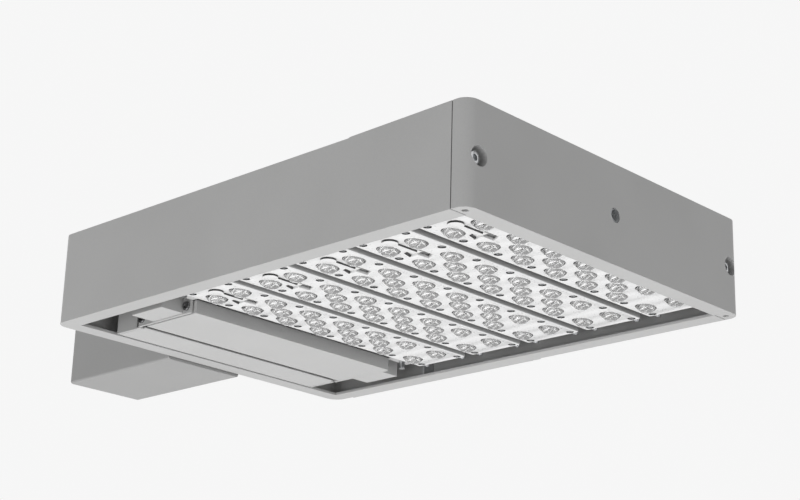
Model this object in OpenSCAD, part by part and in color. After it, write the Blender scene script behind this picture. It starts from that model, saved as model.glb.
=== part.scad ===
// Outdoor area light on a pole arm, seen in its own frame: the origin is the middle of the
// arm's pole face, +X runs from the pole out to the front cap, +Z is up.

/* [Housing] */
// Rear face of the housing to the rear face of the partition
driver_room_l = 156; // [150:1:190]
// Height of the housing at its rear
housing_h = 95; // [90:1:115]
// Wall thickness of the housing and the front cap
wall_t = 3; // [2.5:0.1:3.6]
// Thickness of the deck over the driver room
deck_t = 5; // [4.5:0.1:7]
// Outer radius of the upright corners
corner_r = 14; // [12:0.5:18]
// Width of the lip round the mouth, from the outer face
lip_w = 19; // [15:0.5:20]
// Thickness of the lip
lip_t = 3; // [2.5:0.1:4]
// Rise of the top from the step to the front
top_rise = 2.4; // [1:0.1:4]
// Height of the small step in the top
top_step = 0.8; // [0.2:0.1:1]
// Step in the top, from the front of the housing
top_step_back = 141; // [100:1:200]

/* [Front cap] */
// Depth of the front cap, from its seam to its front face
cap_d = 18; // [18:0.5:24]
// Thickness of the cap gasket, seen as the seam
cap_gasket_t = 1; // [0.6:0.1:1.5]
// Radius of the pockets for the cap screws
pocket_r = 9.3; // [8:0.1:10.8]
// Depth of the pockets for the cap screws
pocket_d = 13.5; // [12:0.1:14]
// Cap screws, from the side faces
cap_screw_in = 16; // [11.8:0.1:17]
// Radius of the tapped accessory hole in the cap
accessory_r = 7; // [5:0.1:9]
// Depth of the tapped accessory hole
accessory_d = 11; // [8:0.1:11.5]
// Radius of the holes in the cap's lip
lip_hole_r = 3; // [2:0.1:3.5]
// Holes in the cap's lip, from the front face and from the side faces
lip_hole_in = 10.6; // [9:0.1:12]

/* [Light bars] */
// Width of one lens plate
plate_w = 67.5; // [66:0.5:80]
// Gap between neighbouring lens plates
bar_gap = 10; // [6:0.5:16]
// Spacing of the lenses along a bar
lens_pitch = 47; // [46:0.5:52]
// Spacing of the two outer rows of lenses
row_gap = 34.3; // [34:0.1:36]
// Spacing of the two rows of edge screws
edge_screw_gap = 52; // [52:0.1:53]
// Plain end of a lens plate past its last screw pitch
plate_end = 5.5; // [5:0.1:9]
// Thickness of a lens plate
plate_t = 3; // [2.8:0.1:4]
// Height of the lens plates' faces above the lip's underside
bar_z = 8; // [7.5:0.1:12]
// Radius of a lens dome at its foot
dome_r = 10.5; // [8:0.1:11.6]
// Height of a lens dome
dome_h = 5.5; // [4:0.1:6.5]
// Height of the skirt behind a lens plate
skirt_h = 3; // [2.8:0.1:4]
// Thickness of a skirt's wall
skirt_t = 3; // [2:0.1:3.4]
// Thickness of a bar gasket
bar_gasket_t = 1.2; // [1:0.1:2]
// Thickness of an LED board
board_t = 1.6; // [1:0.1:1.8]
// Width of an LED board
board_w = 45; // [42:0.5:45]
// Width and length of an LED chip
chip_w = 5; // [3:0.1:6]
// Height of an LED chip
chip_h = 0.9; // [0.6:0.1:1.2]
// Thickness of a rail's flange
flange_t = 3; // [2.5:0.1:5]
// Height of a rail's legs
leg_h = 19.8; // [19:0.1:24]
// Thickness of a rail's legs
leg_t = 8; // [6.5:0.1:9]
// Rail past each end of its lens plate
rail_ear = 7; // [6.9:0.1:12]
// Room between the rail ends and the side walls
wire_room = 22; // [20:0.5:30]
// Gap between the partition and the first lens plate
first_gap = 5.5; // [4:0.5:12]

/* [Heat sink] */
// Thickness of the heat sink's base
base_t = 6; // [5:0.1:8]
// Thickness of a fin
fin_t = 2.5; // [2:0.1:4]
// Spacing of the fins
fin_pitch = 14; // [13.5:0.1:14.2]
// Top of the fins below the housing's rim
fin_drop = 1; // [0.5:0.1:6]
// Width of the ledges that carry the heat sink
ledge_w = 10; // [8:0.1:12]
// Thickness of the ledges
ledge_t = 6; // [5:0.1:8]

/* [Driver room] */
// Thickness of the door's sheet
sheet_t = 1.5; // [1.2:0.1:2]
// Height of the door's front wall and side flanges
door_h = 14; // [13:0.1:18]
// Groove between the door and the wiring cover
groove_w = 6; // [3:0.1:6]
// Gap from the rear wall's lip to the wiring cover
cover_gap = 4; // [2:0.1:6]
// Length of the wiring cover along the light
cover_l = 41; // [41:0.5:50]
// Gap from the door's front wall to the partition
door_front_gap = 9; // [7:0.5:14]
// Hinge axis above the housing's underside
hinge_z = 8; // [7.2:0.1:8.5]
// Hinge axis behind the door's front face
hinge_back = 10; // [9:0.1:11]
// Radius of the hinge screws' shoulder
hinge_r = 2.45; // [2:0.05:3]
// Radius of the closing screws
close_r = 2; // [1.6:0.1:2.4]
// Radius of the screw heads on the end brackets
side_head_r = 4.8; // [4:0.1:5]
// Thickness of the end brackets
bracket_t = 2.5; // [2:0.1:3]
// Gap between an end bracket's box foot and the junction block
foot_gap = 5; // [4:0.5:12]
// Length of the box foot along the light
foot_x = 47; // [40:0.5:50]
// Height of the box foot
foot_h = 20; // [14:0.5:24]
// Partition thickness
partition_t = 3; // [2:0.1:4]
// LED driver: length across the light, width and height
driver_l = 240; // [200:1:244]
driver_w = 66; // [50:1:67]
driver_h = 40; // [30:1:44]

/* [Arm] */
// Length of the arm from the pole to its gasket
arm_l = 176; // [120:1:300]
// Width of the arm
arm_w = 100; // [96:1:120]
// Height of the arm
arm_h = 88; // [86:1:89]
// Wall of the arm
arm_t = 4; // [3:0.1:4.5]
// Radius of the arm's long edges
arm_edge_r = 3; // [2:0.1:4]
// Arm's underside below the housing's underside
arm_drop = 3; // [1:0.1:4]
// Thickness of the arm's gasket
arm_gasket_t = 2; // [1:0.1:4]
// Thickness of the plates in the ends of the arm
arm_plate_t = 8; // [6:0.1:12]
// Pole bolts, from the arm's inner walls
pole_bolt_in = 10; // [8:0.5:15]
// Radius of the holes for the pole bolts
pole_bolt_r = 5.5; // [4:0.1:6]
// Radius of the wire hole in the pole plate
wire_hole_r = 14; // [10:0.1:16]
// Radius of the arm bolts
arm_bolt_r = 4; // [3:0.1:5]
// Arm bolts, from the arm's inner walls
arm_bolt_in = 14; // [12:0.5:16]

/* [Hidden] */
$fn = 64;
over = 1;             // overrun of every cut
bars = 5;             // light bars
cols = 7;             // lenses in an outer row of a bar
slip = 0.05;          // clearance of a screw or pin in its hole
play = 0.3;           // clearance between pieces that pass each other
rest_gap = 0.2;       // gap left at the end of a blind hole and round seals
seal_in = 0.5;        // seals stand back from the faces they close

// colours
paint = [0.80, 0.80, 0.79];
plate_white = [0.95, 0.95, 0.95];
metal = [0.72, 0.73, 0.74];
steel = [0.60, 0.61, 0.62];
dark = [0.16, 0.16, 0.17];
board_white = [0.90, 0.91, 0.90];
chip_yellow = [0.93, 0.85, 0.45];

// screws: shank radius, head radius, head height
cap_screw = [3, 5.7, 6];
base_screw = [2, 3.5, 2.4];
edge_screw = [1.5, 3.3, 1.6];
rail_screw = [2, 3.2, 7.4];
room_screw = [1.8, 3.4, 2];
nose_screw = [2, 3.4, 2.2];
nose_stud = [2, 3.4, 9]; // the right side has a longer head
cap_bite = 22;        // depth of a cap screw in its boss
screw_bite = 3.4;     // depth of the small screws in the deck
rail_bite = 4.5;      // depth of the rail screws in the heat sink
edge_bite = 2.4;      // depth of the lens plate screws in a rail
side_head_h = 2.6;    // height of the heads on the end brackets
side_tail = 3;        // side screws past the door's flange
edge_pocket_r = 4.2;  // pocket for an edge screw's head
edge_pocket_d = 2.2;
edge_boss_r = 3.2;    // boss behind a lens plate round an edge screw

// bars and rails, with the heights in the order in which they are stacked
bar_pitch = plate_w + bar_gap;
plate_l = cols * lens_pitch + 2 * plate_end;
rail_l = plate_l + 2 * rail_ear;
bars_x0 = driver_room_l + partition_t + first_gap;
bars_x1 = bars_x0 + bars * plate_w + (bars - 1) * bar_gap;
function bar_x(i) = bars_x0 + plate_w / 2 + i * bar_pitch;
function col_y(k) = (k - (cols - 1) / 2) * lens_pitch;
plate_top = bar_z + plate_t;
skirt_top = plate_top + skirt_h;
flange_z = skirt_top + bar_gasket_t;
leg_z = flange_z + flange_t;
base_z = leg_z + leg_h;
base_top = base_z + base_t;
board_z = flange_z - board_t;
gasket_in = plate_end - edge_boss_r - play;  // gasket clear of the bosses of the edge screws
board_end = skirt_t + play;
rail_screw_y = plate_l / 2 + rail_screw[1] + play;

// housing and cap
seam_x = bars_x1;
housing_l = seam_x + cap_d;
inner_w = rail_l + 2 * wire_room;
housing_w = inner_w + 2 * wall_t;
half_w = housing_w / 2;
inner_half = inner_w / 2;
mouth_half = half_w - lip_w;
deck_z = housing_h - deck_t;
deck_x1 = driver_room_l + 2 * partition_t;
part_x1 = driver_room_l + partition_t;
cap_x = seam_x + cap_gasket_t;
cap_tongue = 2;       // the cap's lip reaches back between the side lips
cap_r = corner_r - cap_gasket_t;
top_h = housing_h + top_rise;
step_x = housing_l - top_step_back;
step_run = 4 * top_step;
mid_z = housing_h / 2;
strip_t = 2.5;        // strip along the right side, proud of the wall
strip_h = 20;
strip_x0 = 2 * corner_r;
strip_x1 = bar_x(1) + plate_w / 3;
strip_cut = 2;        // gap between the strip and its short end piece
strip_x2 = strip_x1 + 5 * strip_cut;
cap_screw_y = half_w - cap_screw_in;
cap_boss_r = 7;       // boss for a cap screw
cap_boss_l = 30;

// heat sink, which stays clear of the grommet
pass_wall = 2;        // rubber of the grommet
sink_x0 = part_x1 + pass_wall + play;
sink_x1 = seam_x - play;
sink_half = inner_half - play;
fins = floor((cap_screw_y - cap_boss_r - wall_t) / fin_pitch);
base_screws = 4;      // screws along each edge
base_screw_y = inner_half - ledge_w / 2;
base_screw_step = (seam_x - cap_boss_l - bars_x0 - 2 * ledge_w) / (base_screws - 1);
base_screw_x = [for (k = [0:base_screws - 1]) bars_x0 + ledge_w + k * base_screw_step];

// arm, measured from the housing's rear face
arm_x1 = -arm_gasket_t;
arm_x0 = arm_x1 - arm_l;
arm_z0 = -arm_drop;
arm_mid_z = arm_z0 + arm_h / 2;
pole_bolt_gap = arm_h - 2 * arm_t - 2 * pole_bolt_in;
arm_bolt_y = arm_w - 2 * arm_t - 2 * arm_bolt_in;
arm_bolt_z = arm_h - 2 * arm_t - 2 * arm_bolt_in;
hx = -arm_x0;
hz = -arm_mid_z;
bushing_wall = 1.4;

// door and wiring cover
bracket_play = 1.5;   // gap between the door and the end brackets
bracket_rim = 1;      // sheet left past a screw head
bracket_back = 4;     // end bracket's plate behind the door's front face
ear_l = 3;            // ears of the door, back past the groove
ear_z0 = sheet_t + 1; // ears clear of the wiring cover
notch_half = 2.6;     // half the width of the closing notch
cover_x0 = lip_w + cover_gap;
cover_x1 = cover_x0 + cover_l;
cover_front = 9;      // side flanges end behind the cover's front edge
cover_flange_h = 32;  // height of the wiring cover's side flanges
door_x0 = cover_x1 + groove_w;
door_x1 = driver_room_l - door_front_gap;
tab_l = 13;           // mounting tabs of the driver
tab_room = 5;         // room past the tabs
door_half = driver_l / 2 + tab_l + tab_room;
hinge_x = door_x1 - hinge_back;
ear_x0 = cover_x1 - ear_l;
close_x = ear_x0 + ear_l + side_head_r / 2;

// end brackets, clear of the junction block that the leads run to
lead_gap = 5;         // leads beside the rail ends
lead_y = -(rail_l / 2 + lead_gap);
junction_half = 8;    // junction block past the leads
bracket_in = door_half + bracket_play;
bracket_out = bracket_in + bracket_t;
bracket_x0 = close_x - side_head_r - bracket_rim;
bracket_x1 = door_x1 - bracket_back;
bracket_flange = 18;  // width of the top flange
bracket_screw_y = bracket_out + bracket_flange / 2;
bracket_screw_x = [bracket_x0 + bracket_flange / 2, bracket_x1 - bracket_flange / 2];
cover_half = bracket_in + play;
foot_shift = 5.5;     // foot ahead of the bracket's middle
foot_x0 = (bracket_x0 + bracket_x1) / 2 - foot_x / 2 + foot_shift;
foot_z0 = 2;          // foot above the housing's underside
bracket_z0 = 0.5;     // plate of an end bracket above the underside
fold_line = 0.8;      // line along the folded side edge of the wiring cover
nose_past = 3;        // nose wider than the foot
foot_out = -lead_y - junction_half - foot_gap;
nose_out = foot_out + nose_past; // the bracket's nose reaches to the partition
nose_screw_x = (bracket_x1 + driver_room_l) / 2;
nose_screw_y = (bracket_out + nose_out) / 2;

// pieces on the deck of the driver room
tab_t = 2.5;
driver_x0 = (door_x0 + door_x1) / 2 - driver_w / 2;
driver_screw_y = driver_l / 2 + tab_l / 2;
driver_screw_x = [driver_x0 + tab_l, driver_x0 + driver_w - tab_l];
terminal_x0 = lip_w;
terminal_l = 26;
terminal_w = 34;
terminal_h = 20;
terminal_screw_share = 0.75;
surge_w = 44;
surge_h = 24;
surge_gap = 14;       // surge protector beside the terminal block
partition_flange = 11;
partition_foot = 14;  // partition's lower edge above the underside
partition_screw_x = driver_room_l - partition_flange / 2;
partition_screw_y = door_half - 2 * bracket_flange;
post_r = 3.2;
post_x = (cover_x0 + cover_x1) / 2;
post_y = door_half - bracket_flange;

// lead channel and window of a lens plate
channel_w = 6;        // outer width of the raised channel
channel_h = 2;        // height of the raised channel
channel_end_r = 7.5;  // radius of its round end
channel_wall = 1.2;   // wall of the channel
channel_y = col_y(-0.5) + channel_end_r;
window_w = 12;        // window across the bar
window_l = 21;        // window along the bar
window_y0 = col_y(0.5) + channel_w / 2 - window_l / 2;
connector_w = 8;      // connector on the board
connector_l = 11;
connector_y0 = window_y0 + play;
chip_pocket = 1.2;    // hollow over a chip

// leads
lead_r = 1.4;         // radius of every lead
lead_bend = 5;        // bend radius of the leads
lead_step = 3.4;      // one lead above the next
lead_z0 = leg_z + 2 * lead_r;
lead_hole_r = 3;      // hole for a lead through board and rail
inner_leg_x = lead_bend + lead_r + leg_t / 2;
inner_leg_half = plate_l / 2 - 2 * lead_bend;
lead_tail = 25;       // supply leads inside the arm
crimp_l = 10;         // crimp cap on the end of a supply lead
pole_lead_y = 8;      // spacing of the three supply leads

// the leads' way through the partition, and the junction block
pass_w = 10;          // slot in the partition
pass_h = 22;
pass_z = lead_z0 + (bars - 1) * lead_step / 2;
junction_l = 50;
junction_back = 60;   // from the partition
junction_x0 = driver_room_l - junction_back;
junction_x1 = junction_x0 + junction_l;
junction_z0 = pass_z - 15;
output_half = 5;      // half the spacing of the two output leads
output_cx = junction_x0 + junction_l / 2 - 2 * lead_bend;
output_z = deck_z - driver_h + 3 * lead_r;
output_slot = output_half + 2 * lead_r;
junction_z1 = output_z + 3 * lead_r;

module in_place() translate([hx, 0, hz]) children();
module for_bars() for (i = [0:bars - 1]) translate([bar_x(i), 0, 0]) children();
module both_sides() {
    children();
    mirror([0, 1, 0]) children();
}

// Box given by its low and high corners
module block(low, high) translate(low) cube(high - low);

// Cylinder along +X or +Y that starts at p
module rod_x(p, r, l) translate(p) rotate([0, 90, 0]) cylinder(r = r, h = l);
module rod_y(p, r, l) translate(p) rotate([-90, 0, 0]) cylinder(r = r, h = l);
module rod_z(p, r, l) translate(p) cylinder(r = r, h = l);

// Screw that points along +Z from the underside of its head at the origin
module screw(s, l) {
    cylinder(r = s[0], h = l);
    translate([0, 0, -s[2]]) cylinder(r = s[1], h = s[2]);
}

// Outline in plan with round corners at one end, from x0 to x1
module plan(x0, x1, half, r, front) {
    cx = front ? x1 - r : x0 + r;
    translate([front ? x0 : cx, -half]) square([x1 - x0 - r, 2 * half]);
    translate([x0, r - half]) square([x1 - x0, 2 * (half - r)]);
    for (s = [-1, 1]) translate([cx, s * (half - r)]) circle(r);
}

// Everything under the sloping top, seen from the side and lowered by drop
module under_top(drop)
    rotate([90, 0, 0])
        linear_extrude(housing_w + 2 * over, center = true)
            polygon([
                [-over, -over],
                [housing_l + over, -over],
                [housing_l + over, top_h - drop],
                [step_x + step_run, housing_h + top_step - drop],
                [step_x, housing_h - drop],
                [-over, housing_h - drop],
            ]);

module housing() color(paint) in_place() difference() {
    union() {
        difference() {
            intersection() {
                linear_extrude(top_h) plan(0, seam_x, half_w, corner_r, false);
                under_top(0);
            }
            translate([0, 0, lip_t])
                linear_extrude(top_h) plan(wall_t, seam_x + over, inner_half, corner_r - wall_t, false);
            block([lip_w, -mouth_half, -over], [seam_x + over, mouth_half, lip_t + over]);
        }
        translate([0, 0, deck_z])
            linear_extrude(deck_t)
                plan(wall_t / 2, deck_x1, half_w - wall_t / 2, corner_r - wall_t / 2, false);
        side_strip();
        both_sides() {
            block([bars_x0, inner_half - ledge_w, base_z - ledge_t],
                [seam_x - cap_boss_l, inner_half + wall_t / 2, base_z]);
            rod_x([seam_x - cap_boss_l, cap_screw_y, mid_z], cap_boss_r, cap_boss_l);
            block([seam_x - cap_boss_l, cap_screw_y, mid_z - cap_boss_r / 2],
                [seam_x, inner_half + wall_t / 2, mid_z + cap_boss_r / 2]);
        }
    }
    both_sides() {
        rod_x([seam_x - cap_bite, cap_screw_y, mid_z], cap_screw[0] + slip, cap_bite + over);
        for (x = base_screw_x)
            rod_z([x, base_screw_y, base_z - ledge_t - over], base_screw[0] + slip, ledge_t + 2 * over);
        for (x = bracket_screw_x)
            rod_z([x, bracket_screw_y, deck_z - over], room_screw[0] + slip, screw_bite + over);
        for (x = driver_screw_x)
            rod_z([x, driver_screw_y, deck_z - over], room_screw[0] + slip, screw_bite + over);
        rod_z([partition_screw_x, partition_screw_y, deck_z - over], room_screw[0] + slip, screw_bite + over);
        rod_z([post_x, post_y, deck_z - over], room_screw[0] + slip, screw_bite + over);
    }
    rod_x([-over, 0, arm_mid_z], wire_hole_r, wall_t + 2 * over);
    for_arm_bolts() rod_x([-over, 0, 0], arm_bolt_r + slip, wall_t + 2 * over);
}

// Strip along the right side, with a short end piece that slopes off
module side_strip() linear_extrude(strip_h) {
    translate([strip_x0, half_w - over]) square([strip_x1 - strip_x0, strip_t + over]);
    polygon([
        [strip_x1 + strip_cut, half_w - over], [strip_x1 + strip_cut, half_w + strip_t],
        [strip_x2, half_w + strip_t], [strip_x2 + strip_t, half_w], [strip_x2 + strip_t, half_w - over],
    ]);
}

module for_arm_bolts()
    for (y = [-1, 1], z = [-1, 1])
        translate([0, y * arm_bolt_y / 2, arm_mid_z + z * arm_bolt_z / 2]) children();

// The cap's outer block, which its pockets' walls stay inside
module cap_block() intersection() {
    linear_extrude(top_h + over) plan(cap_x - over, housing_l, half_w, cap_r, true);
    block([cap_x, -half_w - over, -over], [housing_l + over, half_w + over, top_h + over]);
    under_top(0);
}

module front_cap() color(paint) in_place() difference() {
    union() {
        block([cap_x - cap_tongue, play - mouth_half, 0], [cap_x + over, mouth_half - play, lip_t]);
        difference() {
            cap_block();
            intersection() {
                translate([0, 0, lip_t]) linear_extrude(top_h)
                    plan(cap_x - over, housing_l - wall_t, inner_half, cap_r - wall_t, true);
                under_top(wall_t);
            }
        }
        both_sides() intersection() {
            rod_x([cap_x, cap_screw_y, mid_z], pocket_r + wall_t, cap_d);
            cap_block();
        }
        rod_x([housing_l - accessory_d - wall_t, 0, mid_z],
            accessory_r + 2 * wall_t, accessory_d + wall_t / 2);
    }
    both_sides() {
        rod_x([housing_l - pocket_d, cap_screw_y, mid_z], pocket_r, pocket_d + over);
        rod_x([cap_x - over, cap_screw_y, mid_z], cap_screw[0] + slip, cap_d);
        rod_z([housing_l - lip_hole_in, half_w - lip_hole_in, -over], lip_hole_r, lip_t + 2 * over);
    }
    rod_x([housing_l - accessory_d, 0, mid_z], accessory_r, accessory_d + over);
}

module cap_gasket() color(dark) in_place() both_sides() intersection() {
    union() {
        block([seam_x, inner_half + seal_in, seal_in], [cap_x, half_w - seal_in, top_h]);
        block([seam_x, mouth_half + seal_in, seal_in], [cap_x, half_w - seal_in, lip_t - seal_in]);
    }
    under_top(seal_in);
}

module cap_screws() color(steel) in_place() both_sides()
    translate([housing_l - pocket_d, cap_screw_y, mid_z])
        rotate([0, -90, 0]) screw(cap_screw, cap_bite + cap_d - pocket_d - play);

module heat_sink() color(metal) in_place() difference() {
    union() {
        block([sink_x0, -sink_half, base_z], [sink_x1, sink_half, base_top]);
        for (k = [-fins:fins])
            block([sink_x0 + 2 * partition_t, k * fin_pitch - fin_t / 2, base_top - over],
                [sink_x1 - partition_t, k * fin_pitch + fin_t / 2, housing_h - fin_drop]);
    }
    both_sides() {
        block([seam_x - cap_boss_l - wall_t, cap_screw_y - cap_boss_r - wall_t, base_z - over],
            [sink_x1 + over, sink_half + over, base_top + over]);
        for (x = base_screw_x)
            rod_z([x, base_screw_y, base_z - over], base_screw[0] + slip, base_t + 2 * over);
        for (i = [0:bars - 1], s = [-1, 1])
            rod_z([bar_x(i) + s * edge_screw_gap / 2, rail_screw_y, base_z - over],
                rail_screw[0] + slip, rail_bite + over + rest_gap);
    }
}

module heat_sink_screws() color(steel) in_place() both_sides()
    for (x = base_screw_x)
        translate([x, base_screw_y, base_top]) mirror([0, 0, 1]) screw(base_screw, base_t + ledge_t);

module partition() color(metal) in_place() difference() {
    union() {
        block([driver_room_l, play - inner_half, lip_t], [part_x1, inner_half - play, deck_z]);
        block([driver_room_l - partition_flange, -partition_screw_y - partition_flange, deck_z - partition_t],
            [driver_room_l + over, partition_screw_y + partition_flange, deck_z]);
    }
    block([driver_room_l - over, -mouth_half, 0],
        [part_x1 + over, mouth_half, partition_foot]);
    block([driver_room_l - over, lead_y - pass_w / 2, pass_z - pass_h / 2],
        [part_x1 + over, lead_y + pass_w / 2, pass_z + pass_h / 2]);
    both_sides()
        rod_z([partition_screw_x, partition_screw_y, deck_z - partition_t - over],
            room_screw[0] + slip, partition_t + 2 * over);
}

module partition_screws() color(steel) in_place() both_sides()
    translate([partition_screw_x, partition_screw_y, deck_z - partition_t])
        screw(room_screw, partition_t + screw_bite - rest_gap);

module lead_grommet() color(dark) in_place() difference() {
    union() {
        block([driver_room_l - pass_wall / 2, lead_y - pass_w / 2, pass_z - pass_h / 2],
            [part_x1 + pass_wall / 2, lead_y + pass_w / 2, pass_z + pass_h / 2]);
        for (x = [driver_room_l - pass_wall, driver_room_l + partition_t])
            block([x, lead_y - pass_w / 2 - pass_wall / 2, pass_z - pass_h / 2 - pass_wall / 2],
                [x + pass_wall, lead_y + pass_w / 2 + pass_wall / 2, pass_z + pass_h / 2 + pass_wall / 2]);
    }
    block([driver_room_l - 2 * pass_wall, lead_y - lead_r - rest_gap, pass_z - pass_h / 2 + pass_wall],
        [part_x1 + 2 * pass_wall, lead_y + lead_r + rest_gap, pass_z + pass_h / 2 - pass_wall]);
}

// One rail: a flange that the lens plate seals against, and legs up to the heat sink
module rail(i) color(metal) in_place() translate([bar_x(i), 0, 0]) difference() {
    union() {
        block([-plate_w / 2, -rail_l / 2, flange_z], [plate_w / 2, rail_l / 2, leg_z]);
        for (s = [-1, 1]) {
            block([s * edge_screw_gap / 2 - leg_t / 2, -rail_l / 2, leg_z - over],
                [s * edge_screw_gap / 2 + leg_t / 2, rail_l / 2, base_z]);
            block([s * inner_leg_x - leg_t / 2, -inner_leg_half, leg_z - over],
                [s * inner_leg_x + leg_t / 2, inner_leg_half, base_z]);
        }
    }
    for (s = [-1, 1]) {
        for (e = [-1, 1])
            rod_z([s * edge_screw_gap / 2, e * rail_screw_y, flange_z - over],
                rail_screw[0] + slip, base_z - flange_z + 2 * over);
        for (k = [0:cols])
            rod_z([s * edge_screw_gap / 2, col_y(k - 0.5), flange_z - over],
                edge_screw[0] + slip, edge_bite + over);
    }
    rod_z([0, channel_y, flange_z - over], lead_hole_r, flange_t + 2 * over);
}

module rail_screws() color(steel) in_place() for_bars()
    for (s = [-1, 1], e = [-1, 1])
        translate([s * edge_screw_gap / 2, e * rail_screw_y, flange_z])
            screw(rail_screw, base_z - flange_z + rail_bite - rest_gap);

module led_board(i) color(board_white) in_place() translate([bar_x(i), 0, 0]) difference() {
    block([-board_w / 2, board_end - plate_l / 2, board_z], [board_w / 2, plate_l / 2 - board_end, flange_z]);
    rod_z([0, channel_y, board_z - over], lead_hole_r, board_t + 2 * over);
}

// Places of the lenses: two full rows and a shorter one between them, half a step aside
module for_lenses() {
    for (s = [-1, 1], k = [0:cols - 1]) translate([s * row_gap / 2, col_y(k), 0]) children();
    for (k = [1:cols - 3]) translate([0, col_y(k + 0.5), 0]) children();
}

module led_chips() color(chip_yellow) in_place() for_bars() for_lenses()
    block([-chip_w / 2, -chip_w / 2, board_z - chip_h], [chip_w / 2, chip_w / 2, board_z]);

module board_connectors() color(plate_white) in_place() for_bars()
    block([-connector_w / 2, connector_y0, bar_z - play],
        [connector_w / 2, connector_y0 + connector_l, board_z]);

module bar_gasket(i) color(dark) in_place() translate([bar_x(i), 0, 0]) difference() {
    block([seal_in - plate_w / 2, seal_in - plate_l / 2, skirt_top],
        [plate_w / 2 - seal_in, plate_l / 2 - seal_in, flange_z]);
    block([gasket_in - plate_w / 2, gasket_in - plate_l / 2, skirt_top - over],
        [plate_w / 2 - gasket_in, plate_l / 2 - gasket_in, flange_z + over]);
}

// One moulded lens plate: domes, skirt, bosses, lead channel and window
module lens_plate(i) color(plate_white) in_place() translate([bar_x(i), 0, 0]) difference() {
    union() {
        difference() {
            block([-plate_w / 2, -plate_l / 2, bar_z], [plate_w / 2, plate_l / 2, skirt_top]);
            block([skirt_t - plate_w / 2, skirt_t - plate_l / 2, plate_top],
                [plate_w / 2 - skirt_t, plate_l / 2 - skirt_t, skirt_top + over]);
        }
        for_lenses() dome();
        for_edge_screws() rod_z([0, 0, plate_top - over], edge_boss_r, flange_z - plate_top + over);
        rod_z([0, channel_y, bar_z - channel_h], channel_end_r, channel_h + over);
        block([-channel_w / 2, channel_y, bar_z - channel_h],
            [channel_w / 2, window_y0 + over, bar_z + over]);
    }
    for_lenses() rod_z([0, 0, plate_top - chip_pocket], chip_w / 2 + over, chip_pocket + over);
    for_edge_screws() {
        rod_z([0, 0, bar_z - over], edge_pocket_r, edge_pocket_d + over);
        rod_z([0, 0, bar_z], edge_screw[0] + slip, flange_z - bar_z + over);
    }
    block([-window_w / 2, window_y0, bar_z - channel_h - over],
        [window_w / 2, window_y0 + window_l, plate_top + over]);
    rod_z([0, channel_y, bar_z - channel_h + channel_wall], channel_end_r - channel_wall, plate_top);
    block([channel_wall - channel_w / 2, channel_y, bar_z - channel_h + channel_wall],
        [channel_w / 2 - channel_wall, window_y0 + over, plate_top + over]);
}
module for_edge_screws()
    for (s = [-1, 1], k = [0:cols]) translate([s * edge_screw_gap / 2, col_y(k - 0.5), 0]) children();
module dome() {
    ball_r = (dome_r * dome_r + dome_h * dome_h) / (2 * dome_h);
    intersection() {
        translate([0, 0, bar_z - dome_h + ball_r]) sphere(ball_r);
        rod_z([0, 0, bar_z - dome_h - over], dome_r + over, dome_h + 2 * over);
    }
}

module lens_plate_screws() color(steel) in_place() for_bars() for_edge_screws()
    translate([0, 0, bar_z + edge_pocket_d])
        screw(edge_screw, flange_z - bar_z - edge_pocket_d + edge_bite - rest_gap);

// Quarter bend of a lead, in the plane of its first two axes, from the first to the second
module bend() rotate_extrude(angle = 90) translate([lead_bend, 0]) circle(lead_r);

// One lead: from the connector along the channel, up through the board and rail, along the
// rail to its end, then back beside the rail ends to the junction block
module bar_lead(i) {
    z0 = bar_z + channel_wall;
    z1 = lead_z0 + i * lead_step;
    x0 = bar_x(i);
    rod_y([x0, channel_y + lead_bend, z0], lead_r, connector_y0 - channel_y - lead_bend);
    translate([x0, channel_y + lead_bend, z0 + lead_bend]) rotate([0, 90, 0]) rotate([0, 0, -90]) bend();
    rod_z([x0, channel_y, z0 + lead_bend], lead_r, z1 - z0 - 2 * lead_bend);
    translate([x0, channel_y - lead_bend, z1 - lead_bend]) rotate([90, 0, 90]) bend();
    rod_y([x0, lead_y + lead_bend, z1], lead_r, channel_y - lead_y - 2 * lead_bend);
    translate([x0 - lead_bend, lead_y + lead_bend, z1]) mirror([0, 1, 0]) bend();
    rod_x([junction_x1, lead_y, z1], lead_r, x0 - lead_bend - junction_x1);
}
module bar_leads() color(board_white) in_place() for (i = [0:bars - 1]) bar_lead(i);

module junction_block() color(dark) in_place()
    block([junction_x0, -inner_half, junction_z0],
        [junction_x1, lead_y + junction_half, junction_z1]);

module output_leads() color(board_white) in_place()
    for (s = [-1, 1])
        rod_y([output_cx + s * output_half, lead_y + junction_half, output_z], lead_r,
            -driver_l / 2 - lead_y - junction_half);

module led_driver() color(metal) in_place() difference() {
    union() {
        block([driver_x0, -driver_l / 2, deck_z - driver_h], [driver_x0 + driver_w, driver_l / 2, deck_z]);
        block([driver_x0, -driver_l / 2 - tab_l, deck_z - tab_t],
            [driver_x0 + driver_w, driver_l / 2 + tab_l, deck_z]);
    }
    both_sides() for (x = driver_screw_x)
        rod_z([x, driver_screw_y, deck_z - tab_t - over], room_screw[0] + slip, tab_t + 2 * over);
}

module driver_screws() color(steel) in_place() both_sides() for (x = driver_screw_x)
    translate([x, driver_screw_y, deck_z - tab_t]) screw(room_screw, tab_t + screw_bite - rest_gap);

module terminal_block() color(plate_white) in_place() difference() {
    block([terminal_x0, -terminal_w / 2, deck_z - terminal_h],
        [terminal_x0 + terminal_l, terminal_w / 2, deck_z]);
    for (k = [-1:1])
        rod_z([terminal_x0 + terminal_l * terminal_screw_share, k * pole_lead_y, deck_z - terminal_h - over],
            lead_r, terminal_h / 2);
}

module surge_protector() color(dark) in_place()
    block([terminal_x0, -terminal_w / 2 - surge_gap - surge_w, deck_z - surge_h],
        [terminal_x0 + terminal_l, -terminal_w / 2 - surge_gap, deck_z]);

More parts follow.
